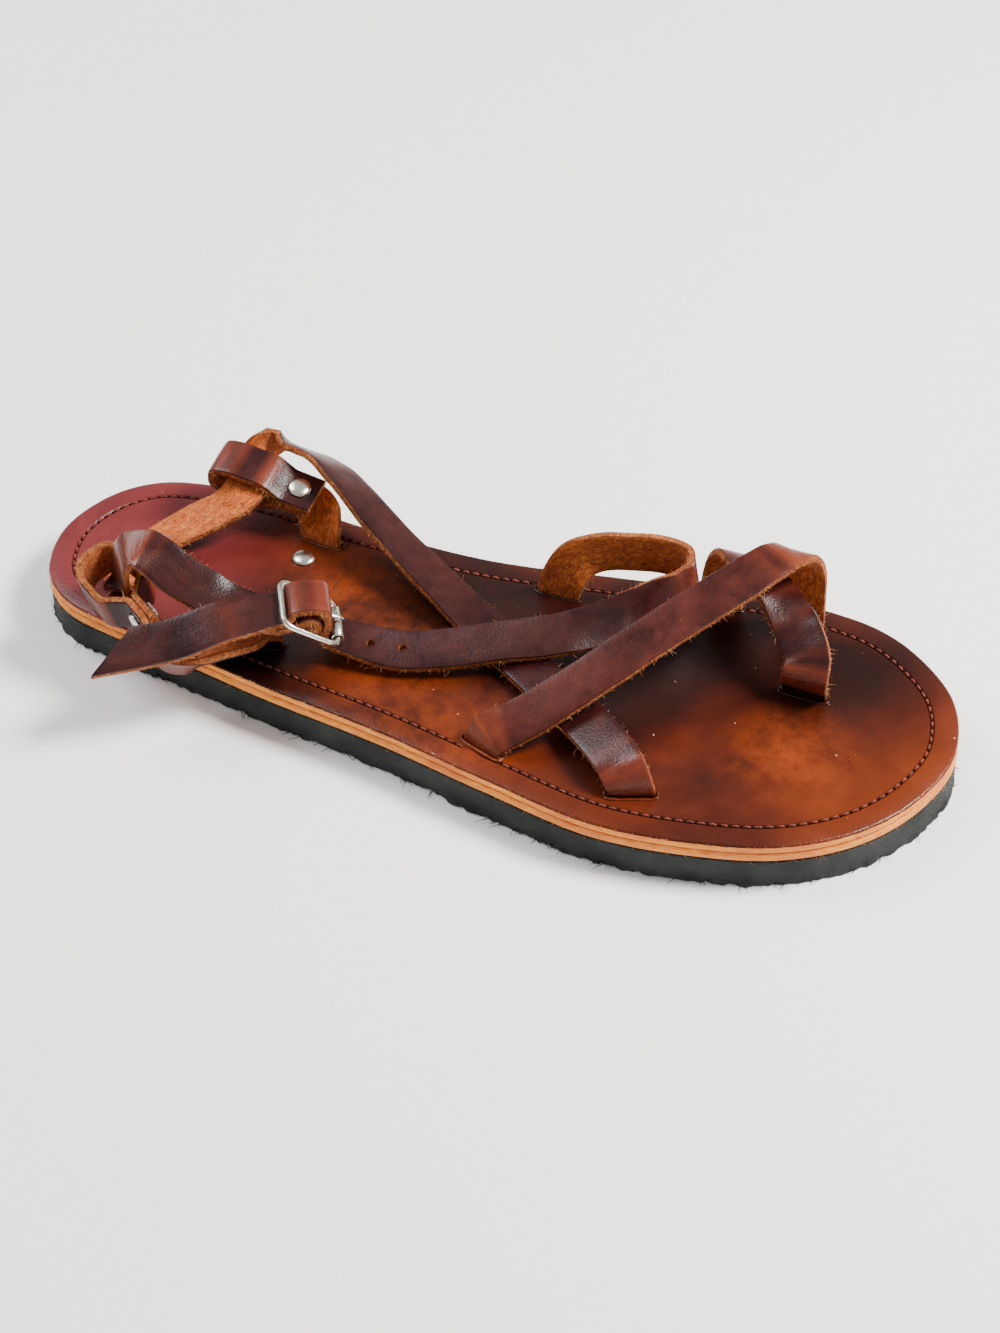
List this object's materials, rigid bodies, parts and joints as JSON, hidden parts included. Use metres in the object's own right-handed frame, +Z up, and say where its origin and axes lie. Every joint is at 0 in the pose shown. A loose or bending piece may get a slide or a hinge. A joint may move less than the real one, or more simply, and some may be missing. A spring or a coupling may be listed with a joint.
{
  "type": "buckle sandal",
  "caption": "Flat right-foot leather strap sandal on a rubber sole, with straps laced through footbed slots, riveted heel loops and a roller buckle.",
  "frame": {"origin": "on the floor under the middle of the sole's length, on the last's middle line", "axes": "+X from heel to toe, +Y to the inner side of the foot, +Z up from the floor"},
  "size_m": [0.3, 0.1256, 0.0504],
  "materials": {
    "rubber": "matt crepe rubber",
    "raw_leather": "raw tan edge",
    "footbed_leather": "waxed, semi-gloss",
    "strap_leather": "waxed grain, satin",
    "nickel": "nickel plate, slightly worn"
  },
  "bodies": {
    "root": {"outsole": "rubber", "midsole": "raw_leather", "insole": "footbed_leather", "toe_strap": "strap_leather", "cross_strap": "strap_leather", "instep_strap": "strap_leather", "ankle_strap": "strap_leather", "heel_upright_medial": "strap_leather", "heel_upright_lateral": "strap_leather", "buckle_frame": "nickel", "buckle_prong": "nickel", "buckle_roller": "nickel", "footbed_rivet_medial": "nickel", "footbed_rivet_lateral": "nickel", "loop_rivet_medial": "nickel", "loop_rivet_lateral": "nickel"}
  },
  "joints": []
}
